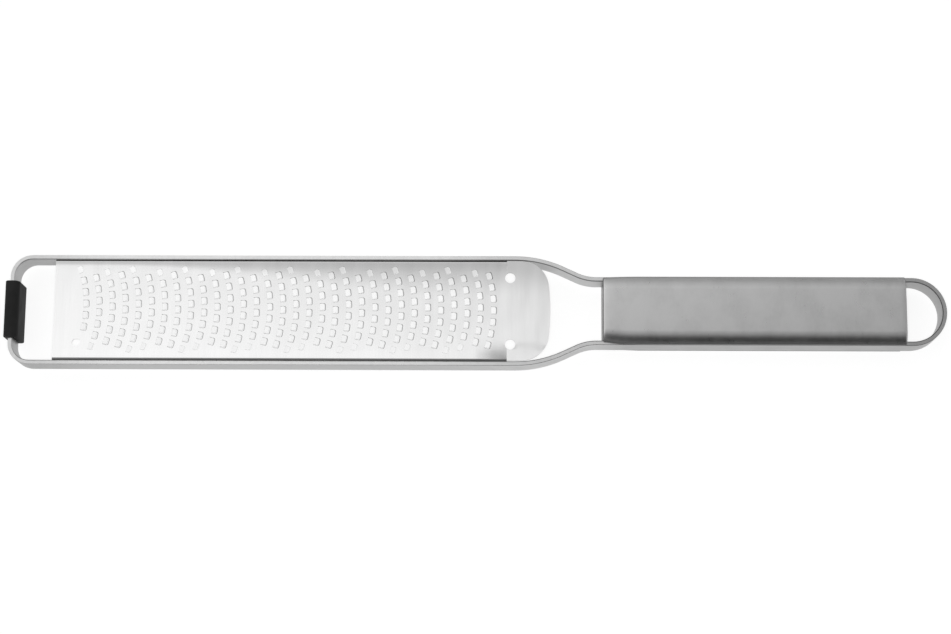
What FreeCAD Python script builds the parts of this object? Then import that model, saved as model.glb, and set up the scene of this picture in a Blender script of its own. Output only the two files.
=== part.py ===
import FreeCAD, Part
import math
import os

# Rasp zester: a steel strip bent into a loop carries an etched blade, two handle shells and a rubber foot.
# Millimetres. The origin lies under the middle of the whole tool, +X runs to the hanging loop, +Z is up.

# Steel strip, standing on edge
strip_thickness = 1.5
strip_depth = 10.0
strip_outer_break = 0.15
strip_inner_break = 0.3

# Loop that the strip is bent into, measured on its outer face
bay_length = 175.3
bay_half_width = 19.25
front_corner_radius = 7.5
shoulder_radius = 40.0
waist_radius = 15.5
neck_straight = 5.1
handle_half_width = 11.9

# Handle shells, pressed sheet that sits on the edges of the handle rails
shell_length = 104.0
shell_rise = 3.3
shell_wall = 1.0
shell_edge_land = 1.6
shell_edge_radius = 6.5
shell_end_break = 0.6
shell_inside_rail = 0.08
shell_front_narrowing = 0.55
shell_taper_length = 10.0
shell_behind_neck = 2.2
shell_before_loop = 2.4
end_wall_clearance = 0.1

# Blade, etched sheet with its long edges folded down along the rails
sheet_thickness = 0.45
blade_below_rail = 0.8
blade_behind_bar = 14.0
fold_before_neck = 2.8
fold_radius = 1.2
fold_depth = 7.0
fold_relief = 0.4
tongue_length = 15.0
tongue_corner_radius = 9.7
tongue_end_radius = 80.0
tongue_clearance = 0.15

# Teeth: tabs cut free on three sides and raised at the handle side, in staggered curved columns
tooth_length = 1.6
tooth_width = 2.3
tooth_slit = 0.35
tooth_rise = 0.5
tooth_edge = 0.15
column_web = 2.6
column_radius = 42.0
row_web = 1.17
row_stagger_shares = (0.56, 0.81, 0.31, 0.06)
first_column_behind_edge = 11.65
last_column_before_fold_end = 4.0
last_row_web = 0.25

# Holes that held the sheet while it was etched and folded
tool_hole_radius = 1.8
tool_hole_behind_fold_end = 1.1
tool_hole_from_fold = 4.85
front_slot_length = 3.1
front_slot_width = 2.4
front_slot_behind_edge = 8.2
front_slot_from_fold = 5.0
front_slot_web = 1.5

# Rubber foot, a sleeve on the straight of the front bar
foot_short_of_corner = 1.75
foot_front_wall = 1.5
foot_inner_wall = 1.85
foot_edge_wall = 1.5
foot_side_round = 1.5
foot_end_break = 0.4

# Two places closer than this count as one
match = 0.001

# Heights
rail_bottom = shell_rise
rail_top = rail_bottom + strip_depth
rail_middle = rail_bottom + strip_depth / 2
sheet_top = rail_top - blade_below_rail
sheet_bottom = sheet_top - sheet_thickness

# The neck's turn follows from its two bends, the straight between them and the narrowing of the loop
neck_bends = shoulder_radius + waist_radius
neck_narrowing = bay_half_width - handle_half_width
neck_turn = math.atan2(neck_bends, neck_straight)
neck_turn += math.asin((neck_narrowing - neck_bends) / math.hypot(neck_straight, neck_bends))
neck_length = neck_bends * math.sin(neck_turn) + neck_straight * math.cos(neck_turn)

# Places along the tool
rail_length = shell_behind_neck + shell_length + shell_before_loop
overall_length = foot_front_wall + bay_length + neck_length + rail_length + handle_half_width
bar_x = foot_front_wall - overall_length / 2
neck_start_x = bar_x + bay_length
neck_end_x = neck_start_x + neck_length
shell_front_x = neck_end_x + shell_behind_neck
shell_rear_x = shell_front_x + shell_length
loop_x = shell_rear_x + shell_before_loop
blade_front_x = bar_x + strip_thickness + blade_behind_bar
fold_end_x = neck_start_x - fold_before_neck
tongue_end_x = fold_end_x + tongue_length
tool_hole_x = fold_end_x + tool_hole_behind_fold_end
front_slot_x = blade_front_x + front_slot_behind_edge

# Places across the tool
rail_inner = bay_half_width - strip_thickness
flat_half_width = rail_inner - fold_radius
shell_half_width = handle_half_width - shell_inside_rail
foot_half_length = bay_half_width - front_corner_radius - foot_short_of_corner

middle = FreeCAD.Vector(0, 0, 0)
across = FreeCAD.Vector(0, 1, 0)
up = FreeCAD.Vector(0, 0, 1)
quarter = math.pi / 2


def around(centre, radius, angle):
    return centre + FreeCAD.Vector(math.cos(angle), math.sin(angle), 0) * radius


def arc(centre, radius, start, end):
    places = [around(centre, radius, angle) for angle in (start, (start + end) / 2, end)]
    return Part.Arc(*places).toShape()


def joined(edges):
    """A run of edges, with a straight line across each gap to the next edge."""
    run = edges[:1]
    for edge in edges[1:]:
        last = run[-1].lastVertex(True).Point
        first = edge.firstVertex(True).Point
        if last.distanceToPoint(first) > match:
            run.append(Part.makeLine(last, first))
        run.append(edge)
    return run


def mirrored_outline(half):
    """The closed outline of a run of edges on the +Y side and its mirror image."""
    other = [edge.mirror(middle, across) for edge in half]
    return Part.Wire(Part.__sortEdges__(half + other))


def raised(plan, bottom, height):
    return plan.translated(up * bottom).extrude(up * height)


def only_solid(shape):
    (solid,) = shape.Solids
    return solid


def loop_outline(inset):
    """Outline of the strip's outer face, moved inwards by inset."""
    corner = FreeCAD.Vector(bar_x + front_corner_radius, bay_half_width - front_corner_radius, 0)
    shoulder = FreeCAD.Vector(neck_start_x, bay_half_width - shoulder_radius, 0)
    waist = FreeCAD.Vector(neck_end_x, handle_half_width + waist_radius, 0)
    loop = FreeCAD.Vector(loop_x, 0, 0)
    bar_middle = FreeCAD.Vector(bar_x + inset, 0, 0)
    bar_end = FreeCAD.Vector(bar_x + inset, corner.y, 0)
    half = joined([
        Part.makeLine(bar_middle, bar_end),
        arc(corner, front_corner_radius - inset, 2 * quarter, quarter),
        arc(shoulder, shoulder_radius - inset, quarter, quarter - neck_turn),
        arc(waist, waist_radius + inset, 3 * quarter - neck_turn, 3 * quarter),
        arc(loop, handle_half_width - inset, quarter, 0),
    ])
    return mirrored_outline(half)


def level_faces(solid):
    return [face for face in solid.Faces if face.BoundBox.ZLength < match]


def make_frame():
    """The bent strip, with its sharp edges broken, the inner ones more than the outer ones."""
    outer = Part.Face(loop_outline(0))
    inner = Part.Face(loop_outline(strip_thickness))
    strip = only_solid(raised(outer.cut(inner), rail_bottom, strip_depth).removeSplitter())
    outer_edges = [edge for face in level_faces(strip) for edge in face.OuterWire.Edges]
    strip = strip.makeChamfer(strip_outer_break, outer_edges)
    inner_edges = []
    for face in level_faces(strip):
        inner_edges += [edge for wire in face.Wires if not wire.isSame(face.OuterWire) for edge in wire.Edges]
    return only_solid(strip.makeChamfer(strip_inner_break, inner_edges))


def shell_outline(inset):
    """Plan of a handle shell, moved inwards by inset. Its front end is a little narrower."""
    taper_radius = (shell_taper_length ** 2 + shell_front_narrowing ** 2) / (2 * shell_front_narrowing)
    taper_turn = math.asin((shell_taper_length - inset) / (taper_radius - inset))
    taper_end = FreeCAD.Vector(shell_front_x + shell_taper_length, shell_half_width - taper_radius, 0)
    taper = arc(taper_end, taper_radius - inset, quarter + taper_turn, quarter)
    front_middle = FreeCAD.Vector(shell_front_x + inset, 0, 0)
    rear_corner = FreeCAD.Vector(shell_rear_x - inset, shell_half_width - inset, 0)
    rear_middle = FreeCAD.Vector(shell_rear_x - inset, 0, 0)
    front = Part.makeLine(front_middle, taper.firstVertex(True).Point)
    rear = Part.makeLine(rear_corner, rear_middle)
    return mirrored_outline(joined([front, taper, rear]))


def shell_section(inset):
    """Section across a handle shell, moved inwards by inset: a flat crown between two round shoulders."""
    drop = shell_rise - shell_edge_land
    reach = math.sqrt(drop * (2 * shell_edge_radius - drop))
    centre_y = shell_half_width - reach
    centre_z = rail_top + shell_rise - shell_edge_radius
    radius = shell_edge_radius - inset
    side = shell_half_width - inset
    turn = math.asin((side - centre_y) / radius)
    shoulder = []
    for angle in (0, turn / 2, turn):
        y = centre_y + radius * math.sin(angle)
        shoulder.append(FreeCAD.Vector(shell_front_x, y, centre_z + radius * math.cos(angle)))
    crown_middle = FreeCAD.Vector(shell_front_x, 0, shoulder[0].z)
    seat_side = FreeCAD.Vector(shell_front_x, side, rail_top - inset)
    seat_middle = FreeCAD.Vector(shell_front_x, 0, rail_top - inset)
    crown = Part.makeLine(crown_middle, shoulder[0])
    seat = Part.makeLine(seat_side, seat_middle)
    return mirrored_outline(joined([crown, Part.Arc(*shoulder).toShape(), seat]))


def shell_pad(inset):
    """What a shell fills on top of the rails, smaller all round by inset."""
    plan = raised(Part.Face(shell_outline(inset)), rail_top, shell_rise)
    return plan.common(Part.Face(shell_section(inset)).extrude(FreeCAD.Vector(shell_length, 0, 0)))


def with_broken_ends(pad):
    """The pad with the upper rims of its two end faces broken."""
    for end_x in (shell_front_x, shell_rear_x):
        rim = []
        for edge in pad.Edges:
            in_end = all(abs(vertex.X - end_x) < match for vertex in edge.Vertexes)
            if in_end and edge.CenterOfMass.z > rail_top + match and edge.BoundBox.YLength > match:
                rim.append(edge)
        pad = pad.makeChamfer(shell_end_break, rim)
    return pad


def make_upper_shell():
    """A pressed cover, with end walls that reach down between the rails to meet the other shell."""
    cover = with_broken_ends(shell_pad(0)).cut(shell_pad(shell_wall))
    wall_half_width = handle_half_width - strip_thickness - end_wall_clearance
    end_walls = []
    for wall_x in (shell_front_x, shell_rear_x - shell_wall):
        corner = FreeCAD.Vector(wall_x, -wall_half_width, rail_middle)
        end_walls.append(Part.makeBox(shell_wall, 2 * wall_half_width, strip_depth / 2, corner))
    return only_solid(cover.fuse(end_walls).removeSplitter())


def make_lower_shell(upper_shell):
    return upper_shell.mirror(FreeCAD.Vector(0, 0, rail_middle), up)


def sheet_plan():
    """Plan of the flat sheet: straight between the folds, then a wider rounded tongue inside the rails."""
    side = rail_inner - tongue_clearance
    end_centre = FreeCAD.Vector(tongue_end_x - tongue_end_radius, 0, 0)
    reach = tongue_end_radius - tongue_corner_radius
    turn = math.asin((side - tongue_corner_radius) / reach)
    front_middle = FreeCAD.Vector(blade_front_x, 0, 0)
    front_corner = FreeCAD.Vector(blade_front_x, flat_half_width, 0)
    step_inner = FreeCAD.Vector(fold_end_x, flat_half_width, 0)
    step_outer = FreeCAD.Vector(fold_end_x, side, 0)
    half = joined([
        Part.makeLine(front_middle, front_corner),
        Part.makeLine(step_inner, step_outer),
        arc(around(end_centre, reach, turn), tongue_corner_radius, quarter, turn),
        arc(end_centre, tongue_end_radius, turn, 0),
    ])
    inside_rails = Part.Face(loop_outline(strip_thickness + tongue_clearance))
    return Part.Face(mirrored_outline(half)).common(inside_rails).Faces[0]


def tool_holes():
    side = flat_half_width - tool_hole_from_fold
    centres = [FreeCAD.Vector(tool_hole_x, y, 0) for y in (-side, side)]
    return [Part.Face(Part.Wire(Part.makeCircle(tool_hole_radius, centre))) for centre in centres]


def front_slot_centre():
    return FreeCAD.Vector(front_slot_x, front_slot_from_fold - flat_half_width, 0)


def front_slot():
    """Obround hole in the bare strip at the front of the blade."""
    end_radius = front_slot_width / 2
    to_end = FreeCAD.Vector(front_slot_length / 2 - end_radius, 0, 0)
    rear_end = arc(front_slot_centre() + to_end, end_radius, -quarter, quarter)
    front_end = arc(front_slot_centre() - to_end, end_radius, quarter, 3 * quarter)
    return Part.Face(Part.Wire(joined([rear_end, front_end, rear_end])[:-1]))


def tooth_places():
    """Tip of each tooth and the turn of its column there, column by column."""
    column_pitch = tooth_length + tooth_slit + column_web
    row_pitch = tooth_width + 2 * tooth_slit + row_web
    row_reach = flat_half_width - tooth_width / 2 - tooth_slit - last_row_web
    clear_of_slot = front_slot_length / 2 + tooth_width / 2 + front_slot_web
    first_x = blade_front_x + first_column_behind_edge
    columns = int((fold_end_x - last_column_before_fold_end - first_x) / column_pitch) + 1
    rows = math.ceil(row_reach / row_pitch) + 1
    places = []
    for column in range(columns):
        share = row_stagger_shares[column % len(row_stagger_shares)]
        centre = FreeCAD.Vector(first_x + column * column_pitch - column_radius, 0, 0)
        for row in range(-rows, rows):
            turn = (row + share) * row_pitch / column_radius
            tip = around(centre, column_radius, turn)
            if abs(tip.y) <= row_reach and tip.distanceToPoint(front_slot_centre()) > clear_of_slot:
                places.append((tip, turn))
    return places


def opening_corners():
    """Corners of a tooth's opening, from one end of the tab's root round to the other, tip at the origin."""
    half_tab = tooth_width / 2
    half_opening = half_tab + tooth_slit
    return [
        FreeCAD.Vector(-tooth_length, half_tab, 0),
        FreeCAD.Vector(-tooth_length, half_opening, 0),
        FreeCAD.Vector(tooth_slit, half_opening, 0),
        FreeCAD.Vector(tooth_slit, -half_opening, 0),
        FreeCAD.Vector(-tooth_length, -half_opening, 0),
        FreeCAD.Vector(-tooth_length, -half_tab, 0),
    ]


def tooth_opening():
    corners = opening_corners()
    return Part.Face(Part.makePolygon(corners + corners[:1]))


def tooth_tab():
    """One raised tab, which leaves the sheet at its root and thins to a cutting edge."""
    side = -tooth_width / 2
    section = [
        FreeCAD.Vector(-tooth_length, side, sheet_bottom),
        FreeCAD.Vector(0, side, sheet_top + tooth_rise - tooth_edge),
        FreeCAD.Vector(0, side, sheet_top + tooth_rise),
        FreeCAD.Vector(-tooth_length, side, sheet_top),
    ]
    return Part.Face(Part.makePolygon(section + section[:1])).extrude(across * tooth_width)


def tooth_skin():
    """Faces of one tooth: the walls of its opening and its tab, without the tab's root."""
    walls = raised(Part.makePolygon(opening_corners()), sheet_bottom, sheet_thickness)
    tab = [face for face in tooth_tab().Faces if face.CenterOfMass.x > match - tooth_length]
    return Part.makeCompound(walls.Faces + tab)


def placed(shape, tip, turn):
    moved = shape.copy()
    moved.Placement = FreeCAD.Placement(tip, FreeCAD.Rotation(up, math.degrees(turn)))
    return moved


def make_sheet():
    """The toothed sheet, sewn from its flat faces, the rims of its outline and holes, and the teeth."""
    places = tooth_places()
    opening = tooth_opening()
    skin = tooth_skin()
    plan = sheet_plan().cut(tool_holes() + [front_slot()]).Faces[0]
    rims = raised(Part.makeCompound(plan.Wires), sheet_bottom, sheet_thickness)
    flat = plan.cut([placed(opening, tip, turn) for tip, turn in places]).Faces[0]
    faces = [flat.translated(up * sheet_bottom), flat.translated(up * sheet_top)] + rims.Faces
    for tip, turn in places:
        faces += placed(skin, tip, turn).Faces
    sewn = Part.makeCompound(faces)
    sewn.sewShape()
    return Part.makeSolid(sewn.Shells[0])


def make_fold():
    """The folded edge on the +Y side: a bend and the flange that seats on the rail."""
    bend = FreeCAD.Vector(blade_front_x, flat_half_width, sheet_top - fold_radius)
    slant = (across + up).normalize()
    inner_radius = fold_radius - sheet_thickness
    outer = [bend + way * fold_radius for way in (up, slant, across)]
    inner = [bend + way * inner_radius for way in (across, slant, up)]
    outer_bend = Part.Arc(*outer).toShape()
    inner_bend = Part.Arc(*inner).toShape()
    drop = up * (fold_depth - fold_radius)
    flange_end = Part.makeLine(outer[-1] - drop, inner[0] - drop)
    section = joined([outer_bend, flange_end, inner_bend, outer_bend])[:-1]
    length = FreeCAD.Vector(fold_end_x - fold_relief - blade_front_x, 0, 0)
    return Part.Face(Part.Wire(section)).extrude(length)


def make_blade():
    fold = make_fold()
    return only_solid(make_sheet().fuse([fold, fold.mirror(middle, across)]))


def make_foot():
    """Rubber sleeve whose bore is the strip's own section."""
    length = 2 * foot_half_length
    bore_corner = FreeCAD.Vector(bar_x, -foot_half_length, rail_bottom)
    bore = Part.makeBox(strip_thickness, length, strip_depth, bore_corner)
    corner = bore_corner - FreeCAD.Vector(foot_front_wall, 0, foot_edge_wall)
    width = foot_front_wall + strip_thickness + foot_inner_wall
    block = Part.makeBox(width, length, strip_depth + 2 * foot_edge_wall, corner)
    long_edges = [edge for edge in block.Edges if edge.BoundBox.YLength > match]
    block = block.makeFillet(foot_side_round, long_edges)
    end_edges = [edge for edge in block.Edges if edge.BoundBox.YLength < match]
    return only_solid(block.makeChamfer(foot_end_break, end_edges).cut(bore))


def main():
    upper_shell = make_upper_shell()
    pieces = {
        "frame": make_frame(),
        "blade": make_blade(),
        "handle_upper_shell": upper_shell,
        "handle_lower_shell": make_lower_shell(upper_shell),
        "front_foot": make_foot(),
    }
    os.makedirs("parts", exist_ok=True)
    for name, piece in pieces.items():
        piece.exportStep("parts/" + name + ".step")


main()
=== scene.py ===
import bmesh
import bpy
import math
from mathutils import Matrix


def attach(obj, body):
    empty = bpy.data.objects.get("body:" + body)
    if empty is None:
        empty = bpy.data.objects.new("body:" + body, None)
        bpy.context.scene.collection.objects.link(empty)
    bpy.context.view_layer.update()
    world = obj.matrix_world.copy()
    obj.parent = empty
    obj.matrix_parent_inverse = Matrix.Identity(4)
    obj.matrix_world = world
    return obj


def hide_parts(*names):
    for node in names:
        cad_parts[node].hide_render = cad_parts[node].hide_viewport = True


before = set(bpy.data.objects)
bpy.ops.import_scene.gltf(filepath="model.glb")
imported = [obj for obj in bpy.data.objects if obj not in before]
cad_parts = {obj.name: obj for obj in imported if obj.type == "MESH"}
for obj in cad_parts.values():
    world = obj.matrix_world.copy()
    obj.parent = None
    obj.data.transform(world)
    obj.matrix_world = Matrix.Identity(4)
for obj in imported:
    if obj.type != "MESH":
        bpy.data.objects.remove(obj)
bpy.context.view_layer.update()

# Rasp zester: a bent strip frame with an etched blade, two pressed handle shells and a rubber foot.
# Sizes are in millimetres, as in the solids; mm and size turn them into metres.

MILLIMETRE, PER_METRE = 0.001, 1000
QUARTER = math.pi / 2
ALONG, UP = (1, 0, 0), (0, 0, 1)
UPRIGHT = (QUARTER, 0, 0)
TOUCH = 0.01
MERGE = TOUCH / 10
SOFT_ANGLE, BLADE_SOFT_ANGLE = 35, 25

# Sizes of the strip frame
STRIP = 1.5
RAIL_BOTTOM, RAIL_TOP = 3.3, 13.3
RAIL_MIDDLE = (RAIL_BOTTOM + RAIL_TOP) / 2
STRIP_OUTER_BREAK, STRIP_INNER_BREAK, STRIP_BREAK_SEGMENTS = 0.15, 0.29, 1
BAR_X = -161.1842
BAY_HALF = 19.25
CORNER_RADIUS = 7.5
NECK_START_X, NECK_END_X = 14.1158, 42.1842
SHOULDER_RADIUS, WAIST_RADIUS, NECK_STRAIGHT = 40.0, 15.5, 5.1
HANDLE_HALF = 11.9
LOOP_X = 150.7842
CORNER_STEPS, NECK_STEPS, LOOP_STEPS = 12, 10, 16

# Sizes of the blade
SHEET = 0.45
SHEET_TOP = 12.5
BLADE_FRONT_X, FOLD_END_X, TONGUE_END_X = -145.6842, 11.3158, 26.3158
FLANGE_BOTTOM = 5.5
RAIL_INNER = BAY_HALF - STRIP
FOLD_RADIUS = 0.7
DISH_RADIUS, DISH_SAG = 400.0, 0.15
DISH_BOTTOM = SHEET_TOP - DISH_SAG
LIFT_RADIUS, LIFT_TURN = 60.0, math.radians(3.4)
FOLD_STEPS, LIFT_STEPS, DISH_STEPS, SETTLING_ROUNDS = 9, 6, 16, 8
FOLD_RELIEF = 0.03
FOLD_STOP_X = FOLD_END_X - FOLD_RELIEF
REAR_STRETCHES = (3.0, 2.4, 2.0, 1.7, 1.4, 1.2, 1.0, 0.8, 0.6)
PRESS_DEPTH, PRESS_LENGTH, PRESS_WIDTH = 1.25, 13.0, 6.6
TONGUE_HALF, TONGUE_CORNER, TONGUE_END_RADIUS = 17.52, 9.7, 80.0
TONGUE_SHIFT = 0.15
TONGUE_STRETCHES, TONGUE_SPARE = [4, 4, 4], 1
TONGUE_CORNER_STEPS, TONGUE_END_STEPS = 14, 16
TRIM_BELOW, TRIM_DEPTH, TRIM_BEYOND = 2, 4, 4

# Sizes of the teeth and holes
TOOTH_LENGTH, TOOTH_WIDTH, TOOTH_RISE = 1.6, 2.3, 0.5
TOOTH_CORNER, TOOTH_CORNER_SEGMENTS = 0.5, 3
TAB_ROOT, TAB_SINK, TAB_THINNING, TIP_THINNING = 0.35, 0.03, 0.06, 0.24
TAB_CURL, TAB_CUTS = 0.25, (1, 0.8, 0.5)
TIP_SLIT, NEAR_SLIT, FAR_SLIT = 0.14, 0.08, 0.04
TIP_ETCH, NEAR_ETCH, FAR_ETCH = 0.32, 0.18, 0.12
OPENING_REACH = 1
OUTER_ROW_Y, OUTER_ETCH_SHARE = 12.8, 0.3
COLUMN_PITCH, COLUMN_RADIUS, COLUMN_LEAN, ROW_PITCH = 4.56, 42.0, 0.021, 4.17
ROW_STAGGER = (0.56, 0.81, 0.31, 0.06)
FIRST_COLUMN_X = BLADE_FRONT_X + 11.75
COLUMNS, ROWS, ROW_REACH = 32, 5, 14.8
TOOL_HOLE_X, TOOL_HOLE_Y, TOOL_HOLE_RADIUS = 12.4158, 11.7, 1.8
TOOL_HOLE_SIDES, TOOL_HOLE_DEPTH = 64, 3
FRONT_SLOT_X, FRONT_SLOT_Y = -137.4842, -11.55
FRONT_SLOT_LENGTH, FRONT_SLOT_WIDTH, FRONT_SLOT_CLEAR = 3.2, 2.6, 4.2
FRONT_SLOT_REACH, FRONT_SLOT_SEGMENTS = 1, 8

# Sizes of the handle shells
SHELL_FRONT_X, SHELL_REAR_X = 44.3842, 148.3842
SHELL_HALF, SHELL_TOP, SHELL_WALL = 11.82, 16.6, 1.0
SHELL_CROWN, SHELL_SHOULDER, SHELL_SHOULDER_END = 350.0, 6.5, math.radians(46)
SHELL_CROWN_STEPS, SHELL_SHOULDER_STEPS = 8, 12
SHELL_END_ROUND, SHELL_END_SEGMENTS = 0.45, 4
SHELL_TAPER, SHELL_NARROWING, SHELL_PULL_Y = 13.0, 0.72, 6.0
SHELL_END_SINK, SHELL_SINK_LENGTH = 0.12, 2.0
SHELL_FRONT_STATIONS = (0, 0.8, 2.0, 4.0, 6.0, 8.5, SHELL_TAPER)
SHELL_REAR_STATIONS = (2.0, 0.8, 0)
END_WALL, END_WALL_HALF = SHELL_WALL - 4 * TOUCH, 10.3
END_WALL_ROUND, END_WALL_SEGMENTS = SHELL_WALL / 4, 2

# Sizes of the rubber foot
FOOT_FRONT_X, FOOT_REAR_X = -162.684, -157.834
FOOT_HALF, FOOT_BOTTOM, FOOT_TOP = 10.0, 1.8, 14.8
FOOT_ROUND, FOOT_REAR_ROUND, FOOT_END_BREAK = 1.3, 2.4, 0.4
FOOT_SEGMENTS, FOOT_REAR_SEGMENTS, FOOT_END_SEGMENTS = 6, 8, 3
BORE_BEYOND = 1

# Tones of the finishes: a pair is the grey of a surface's dark lines and of its light ones
# Painted light and shade: the strip is painted lighter or darker from the front bar to the bay, the neck, the
# handle and the loop, and its level edges lighter than its upright faces
STRIP_FRONT_TONES, STRIP_BAY_TONES = (0.41, 0.48), (0.52, 0.6)
STRIP_NECK_TONES, STRIP_HANDLE_TONES, STRIP_MARK_TONE = (0.58, 0.66), (0.43, 0.5), 0.55
EDGE_FRONT_TONES, EDGE_BAY_TONES = (0.6, 0.66), (0.75, 0.82)
EDGE_NECK_TONES, EDGE_LOOP_TONES = (0.66, 0.73), (0.41, 0.47)
# Painted shade: dark lines on the strip's broken corners, from the neck on, darkest at the loop
BREAK_NECK_SHADE_TONE, BREAK_LOOP_SHADE_TONE = 0.14, 0.05
# The tabs' tips are painted lighter: partly wear, partly painted light on the raised tabs
SHEET_TONES, SHEET_MARK_TONE, TOOTH_TIP_WEAR_AND_LIGHT_TONE = (0.92, 0.96), 0.97, 0.98
# Painted shade: the sheet's cut walls and its folds are painted darker
CUT_WALL_SHADE_TONE, FOLD_SHADE_TONE = 0.45, 0.26
# Painted shade: the shells' turned-down sides are painted dark
SHELL_TONES, SHELL_MARK_TONE, SHELL_SIDE_SHADE_TONES = (0.595, 0.64), 0.685, (0.13, 0.16)
RUBBER_TONES, RUBBER_RIM_TONE = (0.01, 0.014), 0.02
STRIP_MARK_SHARE, SHEET_MARK_SHARE, SHELL_MARK_SHARE = 0.4, 0.5, 0.6
EDGE_SMOOTHER, FOLD_ROUGHER = 0.12, 0.2

# Scales of the patterns, per metre, and how far they are drawn out along, across and up
STRIP_LINES, SHEET_LINES, SHELL_LINES = (45, 45, 3600), (2600, 90, 90), (900, 500, 500)
STRIP_MARKS, SHEET_MARKS, SHELL_MARKS, RUBBER_MARKS = 140, 90, 150, 180
SHEET_WAVES, SHELL_CLOUDS = (1, 0.4, 0.4), (1, 0.7, 0.7)

# Where one finish, or one level of painted light and shade, gives way to another: a pair is the start and the
# end of the change
BEHIND_BAR, ON_NECK = (-152, -120), (-20, 20)
ON_HANDLE = (SHELL_FRONT_X - 4, SHELL_FRONT_X + 8)
ON_LOOP = (SHELL_REAR_X - 20, SHELL_REAR_X + 4)
TOOTH_TIP_Z = (12.75, 13.0)
FOLD_MIDDLE_Y, IN_FOLD = 0.22, (16.9, 17.2)
BEFORE_FOLD_END = (FOLD_END_X + 0.1, FOLD_END_X - 0.1)
# Painted shade: the sheet is painted darker towards its far fold, over a band that widens towards the handle
# end
FAR_SHADE_EDGE_Y, FAR_SHADE_WIDTHS, FAR_SHADE_SHARES = 16.7, (1.3, 12.5), (0.31, 0.27)
FAR_SHADE_WIDENS, FAR_SHADE_FADES = (-125, -5), (-30, 8)
RUBBER_RIM = (9.4, 9.9)

# Studio: places and spans in metres, the camera's lens and sensor in millimetres
CAMERA_PLACE = (0.0138077, -0.1478135, 0.7390409)
CAMERA_TURN = (0.1979, 0.018, 0.003)
CAMERA_LENS, CAMERA_SENSOR, CAMERA_CLIP = 81.236, 36, 0.05
LAMP_SIZE, LAMP_WATTS = 0.09, 3.7
FLOOR_SPAN, FLOOR_WHITE, FLOOR_ROUGHNESS = 12, 0.97, 0.9
FLOOR_MIRRORED_SHARE, FLOOR_SEEN_SHARE = 0.7, 0.75

# Brightness of the studio: how far a direction leans one way, from -1 to 1, and the level there
LIGHT_ALONG = [
    (-1, 0.5), (-0.85, 0.9), (-0.7, 1.1), (-0.6, 1.1), (-0.5, 1.12), (-0.2, 1.09), (-0.15, 1.1),
    (-0.11, 1.0), (-0.06, 0.98), (-0.03, 1.0), (0, 0.95), (0.03, 0.88), (0.07, 0.7), (0.12, 0.62),
    (0.2, 0.52), (0.35, 0.47), (0.6, 0.62), (1, 0.8)]
LIGHT_ACROSS_HANDLE = [
    (-1, 0.0), (-0.64, 0.02), (-0.5, 0.13), (-0.4, 0.3), (-0.3, 0.42), (-0.1, 0.61), (0.1, 0.72),
    (0.19, 0.91), (0.28, 1.09), (0.36, 1.0), (0.45, 0.96), (0.74, 0.84), (0.9, 0.68), (1, 0.52)]
LIGHT_ACROSS_FRONT = [
    (-1, 0.1), (-0.6, 0.35), (-0.35, 0.85), (-0.05, 0.93), (0.2, 0.9), (0.4, 0.85), (0.7, 0.75),
    (1, 0.6)]
LOOP_END_LIGHT, LOW_NEAR_LIGHT = 0.8, 0.55


def mm(*lengths):
    """Millimetres as a tuple of metres."""
    return tuple(length * MILLIMETRE for length in lengths)


def size(length):
    """One length in millimetres as metres."""
    return length * MILLIMETRE


# Drawing and shaping

def start_shaping():
    bpy.ops.object.mode_set(mode="EDIT")


def stop_shaping():
    bpy.ops.object.mode_set(mode="OBJECT")


def start_outline(name, place):
    """A single point, in edit mode, that an outline is drawn on from."""
    bpy.ops.object.select_all(action="DESELECT")
    bpy.ops.mesh.primitive_plane_add(size=size(1))
    piece = bpy.context.object
    piece.name = piece.data.name = name
    start_shaping()
    pick_all()
    bpy.ops.mesh.merge(type="CENTER")
    move(*place)
    return piece


def start_plate(name, low, high, turn=(0, 0, 0)):
    """A flat plate in edit mode, from one corner to the other."""
    bpy.ops.object.select_all(action="DESELECT")
    middle = [(a + b) / 2 for a, b in zip(low, high)]
    spans = [b - a for a, b in zip(low, high) if b - a > MERGE]
    bpy.ops.mesh.primitive_plane_add(size=1, location=mm(*middle), rotation=turn)
    piece = bpy.context.object
    piece.name = piece.data.name = name
    piece.scale = (*mm(*spans), 1)
    bpy.ops.object.transform_apply(location=True, rotation=True, scale=True)
    start_shaping()
    return piece


def run(x=0, y=0, z=0):
    """Draws what is selected on in a straight line."""
    bpy.ops.mesh.extrude_region_move(TRANSFORM_OT_translate={"value": mm(x, y, z)})


def bend(turn, centre, steps, axis=UP):
    """Draws what is selected on round an arc, clockwise as seen from the axis's far end."""
    bpy.ops.mesh.spin(steps=steps, angle=turn, center=mm(*centre), axis=axis)


def move(x=0, y=0, z=0):
    bpy.ops.transform.translate(value=mm(x, y, z))


def pick_all():
    bpy.ops.mesh.select_all(action="SELECT")


def pick(kind, test, but=None):
    """Selects points, or edges whose points, in millimetres, all pass one test but don't all pass another."""
    bpy.ops.mesh.select_mode(type=kind)
    bpy.ops.mesh.select_all(action="DESELECT")
    shape = bmesh.from_edit_mesh(bpy.context.edit_object.data)
    parts = shape.verts if kind == "VERT" else shape.edges
    for part in parts:
        corners = [part] if kind == "VERT" else part.verts
        points = [corner.co * PER_METRE for corner in corners]
        left_out = but is not None and all(but(*point) for point in points)
        part.select_set(all(test(*point) for point in points) and not left_out)
    shape.select_flush_mode()
    bmesh.update_edit_mesh(bpy.context.edit_object.data)


def bevel(radius, segments, what):
    bpy.ops.mesh.bevel(
        offset=size(radius), offset_type="OFFSET", affect=what, segments=segments, profile=0.5)


def round_corners(radius, segments):
    """Rounds the picked corners of a flat outline."""
    bevel(radius, segments, "VERTICES")


def round_edges(radius, segments):
    bevel(radius, segments, "EDGES")


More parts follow.
